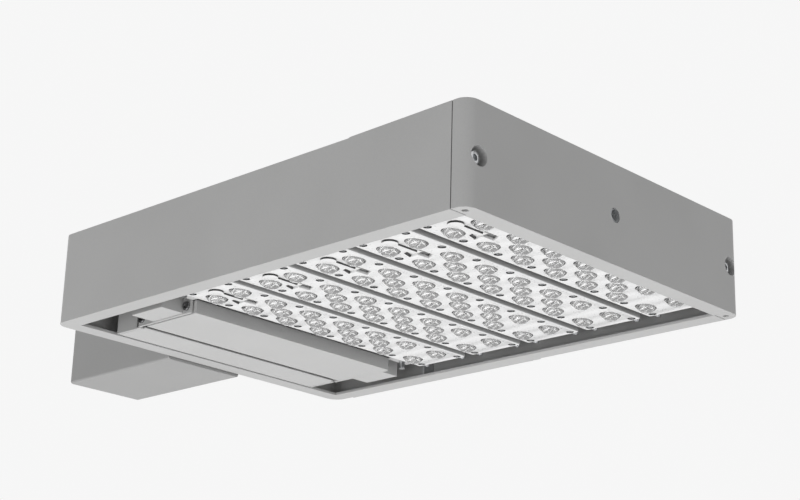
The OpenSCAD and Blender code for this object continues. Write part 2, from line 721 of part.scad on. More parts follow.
// Three leads from the arm through the wire bushing and up to the terminal block
module supply_leads() color(dark) in_place() for (k = [-1:1]) {
    x0 = arm_x1 - arm_plate_t - lead_tail;
    x1 = terminal_x0 + terminal_l / 4;
    rod_x([x0 - crimp_l, k * pole_lead_y, arm_mid_z], 2 * lead_r, crimp_l);
    rod_x([x0, k * pole_lead_y, arm_mid_z], lead_r, x1 - lead_bend - x0);
    translate([x1 - lead_bend, k * pole_lead_y, arm_mid_z + lead_bend]) rotate([-90, 0, 0]) bend();
    rod_z([x1, k * pole_lead_y, arm_mid_z + lead_bend], lead_r, deck_z - terminal_h - arm_mid_z - lead_bend);
}

module driver_leads() color(dark) in_place() for (k = [-1:1])
    rod_x([terminal_x0 + terminal_l, k * pole_lead_y, deck_z - terminal_h / 2], lead_r,
        driver_x0 - terminal_x0 - terminal_l);

module surge_leads() color(dark) in_place() for (s = [-1, 1])
    translate([terminal_x0 + terminal_l / 2, -terminal_w / 2 - surge_gap, deck_z - terminal_h / 2])
        rod_y([s * pole_lead_y / 2, 0, 0], lead_r, surge_gap);

// End bracket: a plate from the deck down beside the door, with a box foot
module end_bracket() difference() {
    union() {
        block([bracket_x0, bracket_in, bracket_z0], [bracket_x1, bracket_out, deck_z]);
        block([bracket_x0, bracket_in, deck_z - bracket_t],
            [bracket_x1, bracket_out + bracket_flange, deck_z]);
        block([bracket_x1 - over, bracket_in, door_h],
            [driver_room_l, nose_out, door_h + bracket_t]);
        difference() {
            block([foot_x0, bracket_out - over, foot_z0],
                [foot_x0 + foot_x, foot_out, foot_z0 + foot_h]);
            block([foot_x0 + sheet_t, bracket_out - 2 * over, foot_z0 + sheet_t],
                [foot_x0 + foot_x - sheet_t, foot_out - sheet_t, foot_z0 + foot_h + over]);
        }
    }
    rod_y([hinge_x, bracket_in - over, hinge_z], hinge_r + slip, bracket_t + 2 * over);
    rod_y([close_x, bracket_in - over, hinge_z], close_r + slip, bracket_t + 2 * over);
    for (x = bracket_screw_x)
        rod_z([x, bracket_screw_y, deck_z - bracket_t - over], room_screw[0] + slip, bracket_t + 2 * over);
    rod_z([nose_screw_x, nose_screw_y, door_h - over], nose_screw[0] + slip, bracket_t + 2 * over);
}
module end_bracket_left() color(paint) in_place() difference() {
    mirror([0, 1, 0]) end_bracket();
    block([output_cx - output_slot, -bracket_out - over, output_z - 2 * lead_r],
        [output_cx + output_slot, over - bracket_in, output_z + 2 * lead_r]);
}
module end_bracket_right() color(paint) in_place() end_bracket();

module bracket_screws() color(steel) in_place() both_sides() for (x = bracket_screw_x)
    translate([x, bracket_screw_y, deck_z - bracket_t]) screw(room_screw, bracket_t + screw_bite - rest_gap);

// Screws in the noses of the end brackets
module nose_screws() color(steel) in_place() {
    translate([nose_screw_x, -nose_screw_y, door_h]) screw(nose_screw, 2 * bracket_t);
    translate([nose_screw_x, nose_screw_y, door_h]) screw(nose_stud, 2 * bracket_t);
}

module side_screw(x, r) both_sides()
    translate([x, bracket_out, hinge_z]) rotate([90, 0, 0])
        screw([r, side_head_r, side_head_h], bracket_t + bracket_play + sheet_t + side_tail);
module hinge_screws() color(steel) in_place() side_screw(hinge_x, hinge_r);
module closing_screws() color(steel) in_place() side_screw(close_x, close_r);

// Door: floor, front wall, rear edge, and side flanges with ears for the closing screws
module driver_door() color(paint) in_place() difference() {
    union() {
        block([door_x0, -door_half, 0], [door_x1, door_half, sheet_t]);
        block([door_x1 - sheet_t, -door_half, 0], [door_x1, door_half, door_h]);
        block([door_x0, -door_half, 0], [door_x0 + sheet_t, door_half, hinge_z - notch_half]);
        both_sides() {
            block([door_x0, door_half - sheet_t, 0], [door_x1, door_half, door_h]);
            block([ear_x0, door_half - sheet_t, ear_z0], [door_x0 + over, door_half, door_h]);
        }
    }
    both_sides() {
        rod_y([hinge_x, door_half - sheet_t - over, hinge_z], hinge_r + slip, sheet_t + 2 * over);
        rod_y([close_x, door_half - sheet_t - over, hinge_z], notch_half, sheet_t + 2 * over);
        block([close_x - notch_half, door_half - sheet_t - over, hinge_z],
            [close_x + notch_half, door_half + over, door_h + over]);
    }
}

module wiring_cover() color(paint) in_place() difference() {
    union() {
        block([cover_x0, -cover_half, 0], [cover_x1, cover_half, sheet_t]);
        both_sides()
            block([cover_x0, cover_half - sheet_t, 0], [cover_x1 - cover_front, cover_half, cover_flange_h]);
        block([cover_x0, -cover_half, 0], [cover_x0 + sheet_t, cover_half, door_h / 2]);
    }
    both_sides() {
        block([ear_x0 - 2 * play, door_half - 2 * sheet_t, -over],
            [cover_x1 + over, cover_half + over, door_h]);
        block([cover_x0 - over, cover_half - bracket_t - fold_line, -over],
            [cover_x1 + over, cover_half - bracket_t, sheet_t / 2]);
    }
}

module cover_posts() color(steel) in_place() both_sides() {
    rod_z([post_x, post_y, sheet_t], post_r, deck_z - sheet_t);
    rod_z([post_x, post_y, deck_z - over], room_screw[0], screw_bite + over - rest_gap);
}

module arm() color(paint) in_place() translate([0, 0, arm_mid_z])
    rotate([0, 90, 0]) translate([0, 0, arm_x0]) linear_extrude(arm_l) difference() {
        union() {
            square([arm_h - 2 * arm_edge_r, arm_w], center = true);
            square([arm_h, arm_w - 2 * arm_edge_r], center = true);
            for (s = [-1, 1], t = [-1, 1])
                translate([s * (arm_h / 2 - arm_edge_r), t * (arm_w / 2 - arm_edge_r)]) circle(arm_edge_r);
        }
        square([arm_h - 2 * arm_t, arm_w - 2 * arm_t], center = true);
    }

module arm_plate(x) block(
    [x, arm_t - arm_w / 2, arm_mid_z - arm_h / 2 + arm_t],
    [x + arm_plate_t, arm_w / 2 - arm_t, arm_mid_z + arm_h / 2 - arm_t]);

module pole_plate() color(metal) in_place() difference() {
    arm_plate(arm_x0);
    rod_x([arm_x0 - over, 0, arm_mid_z], wire_hole_r, arm_plate_t + 2 * over);
    for (s = [-1, 1])
        rod_x([arm_x0 - over, 0, arm_mid_z + s * pole_bolt_gap / 2], pole_bolt_r, arm_plate_t + 2 * over);
}

module arm_flange() color(metal) in_place() difference() {
    arm_plate(arm_x1 - arm_plate_t);
    rod_x([arm_x1 - arm_plate_t - over, 0, arm_mid_z], wire_hole_r, arm_plate_t + 2 * over);
    for_arm_bolts() rod_x([arm_x1 - arm_plate_t - over, 0, 0], arm_bolt_r + slip, arm_plate_t + 2 * over);
}

module arm_gasket() color(dark) in_place() difference() {
    block([arm_x1, seal_in - arm_w / 2, seal_in], [0, arm_w / 2 - seal_in, arm_z0 + arm_h - seal_in]);
    rod_x([arm_x1 - over, 0, arm_mid_z], wire_hole_r, arm_gasket_t + 2 * over);
    for_arm_bolts() rod_x([arm_x1 - over, 0, 0], arm_bolt_r + slip, arm_gasket_t + 2 * over);
}

module arm_bolts() color(steel) in_place() for_arm_bolts()
    translate([wall_t, 0, 0]) rotate([0, -90, 0])
        screw([arm_bolt_r, 2 * arm_bolt_r - over, arm_bolt_r], wall_t + arm_gasket_t + arm_plate_t);

module wire_bushing() color(dark) in_place() difference() {
    union() {
        rod_x([0, 0, arm_mid_z], wire_hole_r, wall_t);
        rod_x([wall_t, 0, arm_mid_z], wire_hole_r + 2 * bushing_wall, bushing_wall);
    }
    rod_x([-over, 0, arm_mid_z], wire_hole_r - bushing_wall, wall_t + bushing_wall + 2 * over);
}

housing();
front_cap();
cap_gasket();
cap_screws();
heat_sink();
heat_sink_screws();
partition();
partition_screws();
lead_grommet();
rail(0);  // rail_1
rail(1);  // rail_2
rail(2);  // rail_3
rail(3);  // rail_4
rail(4);  // rail_5
rail_screws();
led_board(0);  // led_board_1
led_board(1);  // led_board_2
led_board(2);  // led_board_3
led_board(3);  // led_board_4
led_board(4);  // led_board_5
led_chips();
board_connectors();
bar_gasket(0);  // bar_gasket_1
bar_gasket(1);  // bar_gasket_2
bar_gasket(2);  // bar_gasket_3
bar_gasket(3);  // bar_gasket_4
bar_gasket(4);  // bar_gasket_5
lens_plate(0);  // lens_plate_1
lens_plate(1);  // lens_plate_2
lens_plate(2);  // lens_plate_3
lens_plate(3);  // lens_plate_4
lens_plate(4);  // lens_plate_5
lens_plate_screws();
bar_leads();
junction_block();
output_leads();
led_driver();
driver_screws();
terminal_block();
surge_protector();
supply_leads();
driver_leads();
surge_leads();
end_bracket_left();
end_bracket_right();
bracket_screws();
nose_screws();
hinge_screws();
closing_screws();
driver_door();
wiring_cover();
cover_posts();
arm();
pole_plate();
arm_flange();
arm_gasket();
arm_bolts();
wire_bushing();
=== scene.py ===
# %% [markdown]
# # An area light, dressed for its picture
# The lamp is a flat metal box on a square arm. Its underside is open: five bars with
# clear lenses fill the front, and a hinged door hides the driver behind them. The solid
# model already has the true sizes, so this lesson adds a camera, soft light, finishes,
# and the small moulded and turned shapes that make metal and plastic look real.

import math

import bmesh
import bpy
from mathutils import Matrix, Vector


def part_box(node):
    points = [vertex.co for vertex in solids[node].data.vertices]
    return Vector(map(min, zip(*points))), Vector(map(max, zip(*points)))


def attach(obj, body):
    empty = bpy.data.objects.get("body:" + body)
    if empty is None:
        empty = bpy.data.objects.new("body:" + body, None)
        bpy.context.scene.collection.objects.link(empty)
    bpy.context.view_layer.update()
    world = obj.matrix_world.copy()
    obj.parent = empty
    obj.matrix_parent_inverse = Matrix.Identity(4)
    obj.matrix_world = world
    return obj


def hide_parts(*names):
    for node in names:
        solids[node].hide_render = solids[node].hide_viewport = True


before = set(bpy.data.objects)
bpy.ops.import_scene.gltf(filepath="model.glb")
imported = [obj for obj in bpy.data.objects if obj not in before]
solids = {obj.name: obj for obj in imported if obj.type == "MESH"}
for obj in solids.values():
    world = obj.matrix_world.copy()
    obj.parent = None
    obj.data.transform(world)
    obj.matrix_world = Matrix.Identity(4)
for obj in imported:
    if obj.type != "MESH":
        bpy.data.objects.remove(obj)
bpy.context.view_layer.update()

# %% [markdown]
# ## Where things are
# Every measure in the drawing of this lamp is in millimetres from the rear face, the
# middle and the underside of its housing. Asking the solids' own boxes for them keeps the
# dressing on the solids, also when they move. The middle comes from the cap, which is the
# same on both sides, while the housing has a strip on one side only.

# %% A ruler that starts at the housing
MM = 0.001
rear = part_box("housing")[0].x
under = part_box("housing")[0].z
centre_y = (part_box("front_cap")[0].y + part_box("front_cap")[1].y) / 2


def spot(x, y, z):
    """A point given in millimetres from the housing's rear, middle and underside."""
    return Vector((rear + x * MM, centre_y + y * MM, under + z * MM))


print("housing starts at", round(rear, 4), "and its underside is at", round(under, 4))

# %% [markdown]
# ## Camera
# The picture was taken from below and in front of a corner, with a long lens. One could
# aim a camera by eye, but the corners of the box fix the view: the place, the aim and
# the tilt below were solved from them, and the lens follows from how the far edges shrink.

# %% Camera
camera_place = (1.6207, -1.1962, -0.5338)
camera_lens = 78.46
aim = Vector((-0.6562, 0.6824, 0.3221)).normalized()
up = Vector((0.2024, -0.2520, 0.9463))
right = aim.cross(up).normalized()
up = right.cross(aim)
eye = bpy.data.objects.new("camera", bpy.data.cameras.new("camera"))
eye.data.lens = camera_lens
tilt = Matrix((right, up, -aim)).transposed().to_4x4()
eye.matrix_world = Matrix.Translation(camera_place) @ tilt
bpy.context.scene.collection.objects.link(eye)
bpy.context.scene.camera = eye
bpy.context.scene.view_settings.view_transform = "Standard"
print("camera looks up", round(math.degrees(math.asin(aim.z)), 1), "degrees")

# %% [markdown]
# ## Floor and air
# The lamp hangs high on its pole, so the floor lies far below it and is out of the
# picture. It still matters: it is pale and sends light up to the underside. The air
# around is nearly white to the camera, in reflections and through the clear lenses, while
# the light that it gives the paint is weaker, so that pale surfaces keep their colour.

# %% Floor
floor_drop, floor_half, floor_x = 3.6, 14, 0.35
floor_mesh = bpy.data.meshes.new("floor")
sheet = bmesh.new()
bmesh.ops.create_grid(sheet, x_segments=4, y_segments=4, size=floor_half)
sheet.to_mesh(floor_mesh)
sheet.free()
floor = bpy.data.objects.new("floor", floor_mesh)
floor.location = (floor_x, 0, -floor_drop)
bpy.context.scene.collection.objects.link(floor)
print("floor lies", floor_drop, "m below the pole's axis")

# %% White air
seen_tone, soft_strength = 0.925, 0.34
air = bpy.data.worlds.new("studio air")
bpy.context.scene.world = air
air.use_nodes = True
tree = air.node_tree
soft = tree.nodes["Background"]
seen = tree.nodes.new("ShaderNodeBackground")
seen.inputs["Strength"].default_value = 1.0
seen.inputs["Color"].default_value = (seen_tone, seen_tone, seen_tone, 1)
rays = tree.nodes.new("ShaderNodeLightPath")
either = tree.nodes.new("ShaderNodeMath")
either.operation = "MAXIMUM"
tree.links.new(rays.outputs["Is Camera Ray"], either.inputs[0])
tree.links.new(rays.outputs["Is Glossy Ray"], either.inputs[1])
any_of = tree.nodes.new("ShaderNodeMath")
any_of.operation = "MAXIMUM"
tree.links.new(either.outputs[0], any_of.inputs[0])
tree.links.new(rays.outputs["Is Transmission Ray"], any_of.inputs[1])
choose = tree.nodes.new("ShaderNodeMixShader")
tree.links.new(any_of.outputs[0], choose.inputs["Fac"])
tree.links.new(soft.outputs[0], choose.inputs[1])
tree.links.new(seen.outputs[0], choose.inputs[2])
tree.links.new(choose.outputs[0], tree.nodes["World Output"].inputs["Surface"])
soft.inputs["Color"].default_value = (1, 1, 1, 1)
soft.inputs["Strength"].default_value = soft_strength
print("air shows", seen_tone, "and gives", soft_strength, "to the paint")

# %% [markdown]
# ## Lamps
# Four wide soft boxes do the modelling. The strongest lies under the lamp, because the
# underside is the brightest face in the picture. One stands square to the long side and a
# weaker one square to the front, so that neither shines far into the screw pockets, and
# one hangs above for the views from the top. Each face can be set by its own box.

# %% Lamps


def soft_box(name, place, target, width, power):
    """A square area lamp at a place, turned to a target, that the camera doesn't see."""
    lamp = bpy.data.objects.new(name, bpy.data.lights.new(name, "AREA"))
    lamp.data.size = width
    lamp.data.energy = power
    lamp.location = place
    lamp.rotation_euler = (Vector(target) - Vector(place)).to_track_quat("-Z", "Y").to_euler()
    lamp.visible_camera = False
    bpy.context.scene.collection.objects.link(lamp)
    print(name, "at", tuple(round(c, 2) for c in place), power, "W")


middle = tuple(spot(280, 0, 45))
soft_box("lamp below", (0.45, -0.5, -2.6), middle, 2.4, 58)
soft_box("lamp left", (0.8, -3.4, -1.5), middle, 1.6, 25)
soft_box("lamp front", (3.6, -0.3, -1.2), middle, 1.6, 13)
soft_box("lamp above", (0.0, 0.6, 2.6), middle, 2.4, 50)

# %% [markdown]
# ## Finishes
# A finish is never one flat colour. Powder coat has a fine grain that catches light and
# a faint unevenness from the oven; sheet metal shows rolling lines; rubber is dull. All
# of it comes from noise in the finish's nodes, in the object's own millimetres, so that
# the grain has its real size and stays on the part from every side.

# %% Noise for finishes
noise_low, noise_high = 0.3, 0.7


def begin(name, roughness, metal=0.0):
    """An empty finish with a principled shader, and a place to read the part's own points."""
    finish = bpy.data.materials.new(name)
    finish.use_nodes = True
    shader = finish.node_tree.nodes["Principled BSDF"]
    shader.inputs["Roughness"].default_value = roughness
    shader.inputs["Metallic"].default_value = metal
    points = finish.node_tree.nodes.new("ShaderNodeTexCoord").outputs["Object"]
    return finish, finish.node_tree, shader, points


def grain(tree, points, size, detail=2.0, stretch=(1, 1, 1)):
    """Noise whose grains are about size millimetres, drawn out where stretch is above 1."""
    spread = tree.nodes.new("ShaderNodeMapping")
    spread.inputs["Scale"].default_value = [1 / s for s in stretch]
    tree.links.new(points, spread.inputs["Vector"])
    noise = tree.nodes.new("ShaderNodeTexNoise")
    noise.inputs["Scale"].default_value = 1 / (size * MM)
    noise.inputs["Detail"].default_value = detail
    tree.links.new(spread.outputs[0], noise.inputs["Vector"])
    return noise.outputs["Fac"]


def ramp(tree, value, low, high):
    """Turns noise into a colour between low and high."""
    bar = tree.nodes.new("ShaderNodeValToRGB")
    bar.color_ramp.elements[0].position = noise_low
    bar.color_ramp.elements[1].position = noise_high
    bar.color_ramp.elements[0].color = (*low, 1)
    bar.color_ramp.elements[1].color = (*high, 1)
    tree.links.new(value, bar.inputs["Fac"])
    return bar.outputs["Color"]


def level(tree, value, low, high):
    """Brings noise into low..high."""
    span = tree.nodes.new("ShaderNodeMapRange")
    span.inputs["From Min"].default_value = noise_low
    span.inputs["From Max"].default_value = noise_high
    span.inputs["To Min"].default_value = low
    span.inputs["To Max"].default_value = high
    tree.links.new(value, span.inputs["Value"])
    return span.outputs["Result"]


print("noise is read from", noise_low, "to", noise_high)

# %% [markdown]
# ### Mixing, relief and soft edges
# A mix lays one colour over another, a bump turns noise into relief, and a bevel node
# bends the light at an edge as if it were rounded. Relief goes on top of the rounded
# edges, so that both show.

# %% Mixing, relief and soft edges
factor, first_colour, second_colour, mixed_colour = 0, 6, 7, 2
edge_samples = 4


def mixed(tree, share, a, b, way="MIX"):
    """Mixes two colours. The share is a number or a socket."""
    mix = tree.nodes.new("ShaderNodeMix")
    mix.data_type = "RGBA"
    mix.blend_type = way
    if isinstance(share, (int, float)):
        mix.inputs[factor].default_value = share
    else:
        tree.links.new(share, mix.inputs[factor])
    for socket, value in ((mix.inputs[first_colour], a), (mix.inputs[second_colour], b)):
        if isinstance(value, tuple):
            socket.default_value = (*value, 1)
        else:
            tree.links.new(value, socket)
    return mix.outputs[mixed_colour]


def relief(tree, height, depth, strength, under=None):
    """Bumps from a height, depth millimetres deep, over an earlier normal if there is one."""
    bump = tree.nodes.new("ShaderNodeBump")
    bump.inputs["Distance"].default_value = depth * MM
    bump.inputs["Strength"].default_value = strength
    tree.links.new(height, bump.inputs["Height"])
    if under is not None:
        tree.links.new(under, bump.inputs["Normal"])
    return bump.outputs["Normal"]


def soft_edges(tree, radius):
    """The normal of edges that look rounded by radius millimetres."""
    edge = tree.nodes.new("ShaderNodeBevel")
    edge.samples = edge_samples
    edge.inputs["Radius"].default_value = radius * MM
    return edge.outputs["Normal"]


print("soft edges take", edge_samples, "samples")

# %% [markdown]
# ### Powder coat
# The housing, cap and arm carry a silver grey powder coat. Up close it is pebbled, a
# little over half a millimetre a grain, and at arm's length it is satin with a slow change
# of tone. Edges of real castings and folded sheet are never knife sharp, so the shader
# rounds the normal there, and the coat is painted a touch lighter on the edge as a painted
# highlight.

# %% Powder coat
cloud_size, speck_size, pebble_size = 90, 1.1, 0.6
cloud_share, speck_share, edge_highlight_share = 0.025, 0.05, 1.12
paint_edge, pebble_depth, pebble_strength = 0.9, 0.03, 0.5
flat_bend, edge_bend = 0.99, 0.8
satin, dull_satin = 0.42, 0.56


def powder_coat(name, tone, grit):
    """Painted metal. The tone is its grey, and grit how strongly the grain shows."""
    finish, tree, shader, points = begin(name, 0.5)
    cloud = grain(tree, points, cloud_size, 1.0)
    speck = grain(tree, points, speck_size, 3.0)
    dark, pale = (tuple(c * share for c in tone) for share in (1 - cloud_share, 1 + cloud_share))
    slow = ramp(tree, cloud, dark, pale)
    fine = ramp(tree, speck, (1 - speck_share * grit,) * 3, (1.0,) * 3)
    coat = mixed(tree, 1.0, slow, fine, "MULTIPLY")
    rounded = soft_edges(tree, paint_edge)
    true_normal = tree.nodes.new("ShaderNodeNewGeometry").outputs["Normal"]
    bend = tree.nodes.new("ShaderNodeVectorMath")
    bend.operation = "DOT_PRODUCT"
    tree.links.new(rounded, bend.inputs[0])
    tree.links.new(true_normal, bend.inputs[1])
    # painted highlight: at edges, where the rounded normal bends away from the true one, the
    # coat is painted lighter
    edge_highlight_mask = tree.nodes.new("ShaderNodeMapRange")
    edge_highlight_mask.inputs["From Min"].default_value = flat_bend
    edge_highlight_mask.inputs["From Max"].default_value = edge_bend
    tree.links.new(bend.outputs["Value"], edge_highlight_mask.inputs["Value"])
    edge_highlight_tone = tuple(min(1, c * edge_highlight_share) for c in tone)
    coat_with_edge_highlight = mixed(tree, edge_highlight_mask.outputs["Result"], coat, edge_highlight_tone)
    tree.links.new(coat_with_edge_highlight, shader.inputs["Base Color"])
    tree.links.new(level(tree, speck, satin, dull_satin), shader.inputs["Roughness"])
    pebbles = grain(tree, points, pebble_size, 2.0)
    bumps = relief(tree, pebbles, pebble_depth * grit, pebble_strength, rounded)
    tree.links.new(bumps, shader.inputs["Normal"])
    return finish


housing_paint = powder_coat("powder coat", (0.50, 0.50, 0.497), 1.0)
sheet_paint = powder_coat("powder coat on sheet", (0.53, 0.53, 0.527), 1.6)
# painted shade: the arm's coat is a darker copy of the same powder coat, for the shade that the
# housing throws on the arm
arm_paint_darkened_for_shade = powder_coat("powder coat on the arm, darkened for shade", (0.375, 0.375, 0.373), 1.2)
print("paints:", [paint.name for paint in (housing_paint, sheet_paint, arm_paint_darkened_for_shade)])

# %% [markdown]
# ### Bare metal
# The heat sink, rails and plates are extruded or rolled aluminium, which keeps long faint
# lines along the way it was drawn. Screws are small and turned, so their lines go round
# and only sparkle matters. Both are metals in the shader, with the lines in the roughness
# and a shallow relief.

# %% Bare metal
line_length, stain_size, metal_edge = 40, 35, 0.35
stain_share, line_share = 0.93, 0.93
line_depth, line_strength = 0.02, 0.4
smoother, rougher = 0.08, 0.1


def bare_metal(name, tone, rough, lines, along):
    """Metal with lines of a width in millimetres, drawn out along an axis."""
    finish, tree, shader, points = begin(name, rough, 1.0)
    stretch = tuple(line_length if axis == along else 1 for axis in "xyz")
    drawn = grain(tree, points, lines, 3.0, stretch)
    stain = grain(tree, points, stain_size, 2.0)
    base = ramp(tree, stain, tuple(c * stain_share for c in tone), tone)
    streaks = ramp(tree, drawn, (line_share,) * 3, (1.0,) * 3)
    sheen = level(tree, drawn, rough - smoother, rough + rougher)
    bumps = relief(tree, drawn, line_depth, line_strength, soft_edges(tree, metal_edge))
    tree.links.new(mixed(tree, 1.0, base, streaks, "MULTIPLY"), shader.inputs["Base Color"])
    tree.links.new(sheen, shader.inputs["Roughness"])
    tree.links.new(bumps, shader.inputs["Normal"])
    return finish


sink_metal = bare_metal("drawn aluminium", (0.66, 0.67, 0.68), 0.42, 0.7, "x")
# painted shade: the rails are toned far darker than bare aluminium, for the shade deep between
# the bars
rail_metal_darkened_for_shade = bare_metal("rail aluminium, darkened for shade", (0.22, 0.222, 0.225), 0.5, 0.7, "y")
plate_metal = bare_metal("rolled aluminium", (0.64, 0.65, 0.66), 0.4, 0.9, "z")
driver_metal = bare_metal("driver case", (0.42, 0.43, 0.44), 0.48, 1.2, "y")
screw_metal = bare_metal("zinc plated steel", (0.66, 0.67, 0.68), 0.27, 0.4, "z")
dark_steel = bare_metal("dark steel", (0.22, 0.22, 0.225), 0.3, 0.4, "z")
print("metals run from", sink_metal.name, "to", dark_steel.name)

# %% [markdown]
# ### Plastics and rubber
# Moulded white plastic is glossy with a faint flow in its tone, and seals and cable jackets
# are dull rubber. One helper makes them all from a tone, a roughness and the size of their
# unevenness.

# %% Plastics and rubber
plastic_edge, skin_strength = 0.3, 0.5
flow_dark, flow_pale = 0.96, 1.03
smooth_share, rough_share = 0.85, 1.15


def moulded(name, tone, rough, patch, texture, depth):
    """Plastic or rubber: a tone that drifts over patch millimetres, and a skin texture."""
    finish, tree, shader, points = begin(name, rough)
    drift = grain(tree, points, patch, 2.0)
    skin = grain(tree, points, texture, 3.0)
    dark, pale = (tuple(min(1, c * flow) for c in tone) for flow in (flow_dark, flow_pale))
    sheen = level(tree, skin, rough * smooth_share, rough * rough_share)
    bumps = relief(tree, skin, depth, skin_strength, soft_edges(tree, plastic_edge))
    tree.links.new(ramp(tree, drift, dark, pale), shader.inputs["Base Color"])
    tree.links.new(sheen, shader.inputs["Roughness"])
    tree.links.new(bumps, shader.inputs["Normal"])
    return finish


white_moulding = moulded("white moulding", (0.80, 0.80, 0.80), 0.3, 40, 3.0, 0.02)
white_plastic = moulded("white plastic", (0.80, 0.80, 0.79), 0.45, 12, 0.8, 0.02)
dark_plastic = moulded("dark plastic", (0.035, 0.035, 0.038), 0.5, 15, 0.6, 0.03)
black_gloss = moulded("glossy black plastic", (0.02, 0.02, 0.021), 0.16, 12, 2.0, 0.01)
# painted shade: the grey of the sheet that stands for the shade in the windows
grey_sheet_for_shade = moulded("grey sheet, painted shade", (0.17, 0.17, 0.17), 0.4, 10, 1.0, 0.01)
# painted shade: the skirts of the lens plates are painted grey for the shade in the gaps between
# the bars
skirt_grey_for_shade = moulded("grey skirt, painted shade", (0.45, 0.45, 0.45), 0.5, 30, 1.0, 0.02)
pale_plastic = moulded("pale grey plastic", (0.45, 0.45, 0.45), 0.45, 8, 0.8, 0.02)
black_shade_ring = moulded("black ring, painted shade", (0.022, 0.022, 0.022), 0.3, 8, 0.8, 0.02)
rubber = moulded("rubber", (0.03, 0.03, 0.03), 0.75, 12, 0.5, 0.04)
grey_rubber = moulded("grey rubber", (0.12, 0.12, 0.12), 0.7, 12, 0.5, 0.04)
white_jacket = moulded("white cable jacket", (0.75, 0.75, 0.74), 0.5, 20, 0.9, 0.03)
dark_jacket = moulded("dark cable jacket", (0.05, 0.05, 0.05), 0.5, 20, 0.9, 0.03)
phosphor = moulded("phosphor", (0.55, 0.53, 0.44), 0.5, 2, 0.3, 0.01)
print("plastics and rubbers run from", white_moulding.name, "to", phosphor.name)

# %% [markdown]
# ### Solder mask
# The boards lie behind the lens plates and show only through the lenses and the windows.
# Their white lacquer has copper tracks under it. A brick pattern gives such tracks without
# any drawing, because its mortar lines run straight and turn at right angles.

# %% Solder mask
mask_tones = {"Color1": (0.80, 0.80, 0.79, 1), "Color2": (0.77, 0.77, 0.76, 1),
              "Mortar": (0.70, 0.70, 0.69, 1)}
track_scale, track_width = 60, 0.03
skin_size, skin_depth, mask_strength = 0.9, 0.02, 0.4
mask_smooth, mask_rough = 0.3, 0.42


def solder_mask():
    """White board lacquer with tracks that just show through."""
    finish, tree, shader, points = begin("solder mask", 0.35)
    tracks = tree.nodes.new("ShaderNodeTexBrick")
    tracks.inputs["Scale"].default_value = track_scale
    tracks.inputs["Mortar Size"].default_value = track_width
    for socket, tone in mask_tones.items():
        tracks.inputs[socket].default_value = tone
    skin = grain(tree, points, skin_size, 2.0)
    bumps = relief(tree, skin, skin_depth, mask_strength)
    tree.links.new(points, tracks.inputs["Vector"])
    tree.links.new(tracks.outputs["Color"], shader.inputs["Base Color"])
    tree.links.new(level(tree, skin, mask_smooth, mask_rough), shader.inputs["Roughness"])
    tree.links.new(bumps, shader.inputs["Normal"])
    return finish


board_lacquer = solder_mask()
print("boards are lacquered in", board_lacquer.name)

# %% [markdown]
# ### Clear lens plastic
# The lenses are moulded in clear acrylic. A principled shader with full transmission and
# acrylic's bending of light does it, since what they look like comes from their shape and
# from what is behind them. A very shallow ripple breaks the perfect surface of a lathe.

# %% Clear lens plastic
acrylic_bending, clear_tone = 1.49, 0.99
ripple_size, ripple_depth, ripple_strength = 5, 0.03, 0.2


def clear_acrylic():
    """Clear plastic with a hardly visible ripple from the mould."""
    finish, tree, shader, points = begin("clear acrylic", 0.03)
    shader.inputs["Base Color"].default_value = (clear_tone, clear_tone, clear_tone, 1)
    shader.inputs["Transmission Weight"].default_value = 1.0
    shader.inputs["IOR"].default_value = acrylic_bending
    ripple = grain(tree, points, ripple_size, 1.0)
    bumps = relief(tree, ripple, ripple_depth, ripple_strength)
    tree.links.new(bumps, shader.inputs["Normal"])
    return finish


lens_acrylic = clear_acrylic()
print("lenses bend light by", acrylic_bending)

# %% [markdown]
# ## Shapes that are turned, cut and put together
# Lenses and screw heads are round, so they are turned: a profile is drawn beside an axis
# and spun, as on a lathe. Plates are flat with many holes, so they are cut: a closed 2D
# curve with holes is filled, given its thickness, and its bevel breaks the edges. Both
# give plain lists of points and faces, which one more helper sets in as many places as
# needed and joins into one piece. All of their numbers are millimetres.

# %% Outlines
round_steps, corner_steps = 32, 5


def ring(radius, at=(0, 0), steps=round_steps):
    """Points of a circle."""
    angles = [2 * math.pi * k / steps for k in range(steps)]
    return [(at[0] + radius * math.cos(t), at[1] + radius * math.sin(t)) for t in angles]


def round_box(x0, y0, x1, y1, radius):
    """Points of a rectangle with round corners."""
    centres = ((x1 - radius, y1 - radius), (x0 + radius, y1 - radius),
               (x0 + radius, y0 + radius), (x1 - radius, y0 + radius))
    points = []
    for quarter, (cx, cy) in enumerate(centres):
        for k in range(corner_steps + 1):
            angle = math.radians(90 * (quarter + k / corner_steps))
            points.append((cx + radius * math.cos(angle), cy + radius * math.sin(angle)))
    return points


print("circles have", round_steps, "points and round corners", corner_steps + 1)

# %% Turned shapes


def oval(profile, steps=round_steps):
    """Points and faces of rows of (half width, half length, height), each an ellipse."""
    points, rows = [], []
    for half_x, half_y, height in profile:
        row = [(x * half_x, y * half_y, height) for x, y in ring(1, steps=steps)]
        row = row if half_x else [(0, 0, height)]
        rows.append(range(len(points), len(points) + len(row)))
        points += row
    faces = []
    for low, high in zip(rows, rows[1:]):
        for k in range(steps):
            corners = [low[k % len(low)], low[(k + 1) % steps % len(low)],
                       high[(k + 1) % steps % len(high)], high[k % len(high)]]
            faces.append(list(dict.fromkeys(corners)))
    return points, faces


def turned(profile, steps=round_steps):
    """Points and faces of a profile of (radius, height) pairs spun round the z axis."""
    return oval([(radius, radius, height) for radius, height in profile], steps)


print("a cone turned in", round_steps, "steps has", len(turned([(1, 0), (0, 1)])[1]), "faces")

# %% Cut shapes
broken_edge = 0.4


